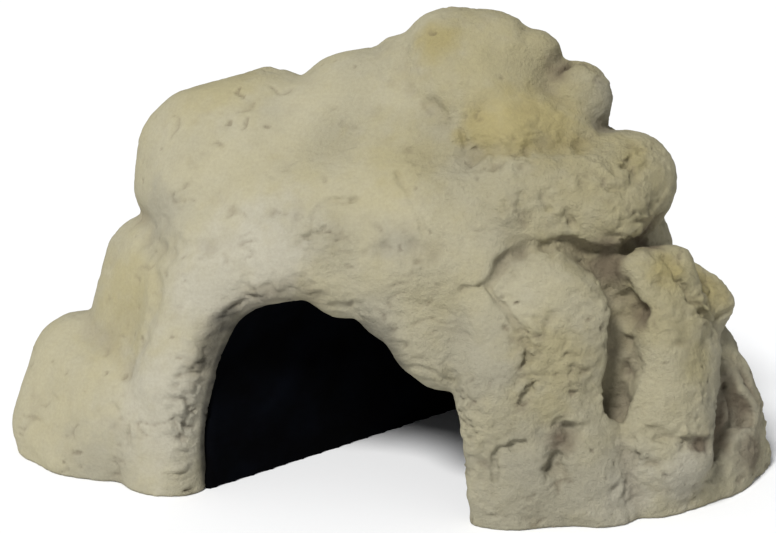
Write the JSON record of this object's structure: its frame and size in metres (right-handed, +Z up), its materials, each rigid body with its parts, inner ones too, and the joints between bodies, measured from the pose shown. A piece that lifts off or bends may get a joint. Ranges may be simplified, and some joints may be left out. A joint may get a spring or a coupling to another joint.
{
  "type": "cave ornament",
  "caption": "Sand-coloured rock cave for a tank or pond: a hollow pile of boulders with an arched entrance that opens into a dark chamber, open underneath.",
  "frame": {"origin": "middle of the base on the ground, under the middle of the whole rock", "axes": "+Z up, -Y towards the entrance side, +X to the right as one faces the entrance, along the rock's length"},
  "size_m": [0.2637, 0.1357, 0.1558],
  "materials": {
    "rock": "matte sandy cast resin, cream to sand with ochre stains and grey lower parts",
    "liner": "matte black paint"
  },
  "bodies": {
    "root": {"summit_boulder": "rock", "shoulder_boulder": "rock", "left_boulder": "rock", "front_pillar": "rock", "middle_pillar": "rock", "right_pillar": "rock", "right_flank": "rock", "left_foot": "rock", "left_jamb": "rock", "ridge_slab": "rock", "arch_lintel": "rock", "rear_left_rock": "rock", "rear_middle_rock": "rock", "rear_right_rock": "rock", "cave_liner": "liner"}
  },
  "joints": []
}
